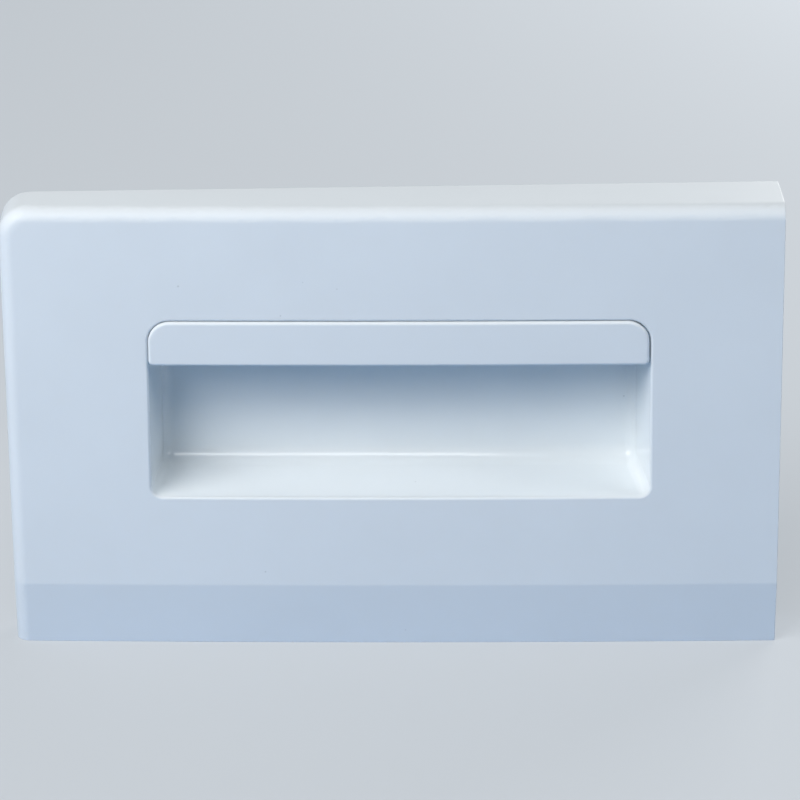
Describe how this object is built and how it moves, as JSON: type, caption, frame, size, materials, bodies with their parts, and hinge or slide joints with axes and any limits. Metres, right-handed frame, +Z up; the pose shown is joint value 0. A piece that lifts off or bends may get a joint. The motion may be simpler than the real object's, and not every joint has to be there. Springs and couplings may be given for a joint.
{
  "type": "detergent dispenser cover",
  "caption": "White moulded front of a washing machine's detergent drawer, with a bowed face, a finger pocket under a grip bar, and hooks and screw bosses behind.",
  "frame": {"origin": "middle of the cover's box at the bottom, where it stands on its lower wall", "axes": "+X to the right as seen from the front, +Y into the machine, +Z up"},
  "size_m": [0.195, 0.0284, 0.118],
  "materials": {
    "panel_plastic": "satin white moulded ABS, polished in the pocket",
    "bar_plastic": "satin white moulded ABS"
  },
  "bodies": {
    "root": {"front_panel": "panel_plastic", "grip_bar": "bar_plastic"}
  },
  "joints": []
}
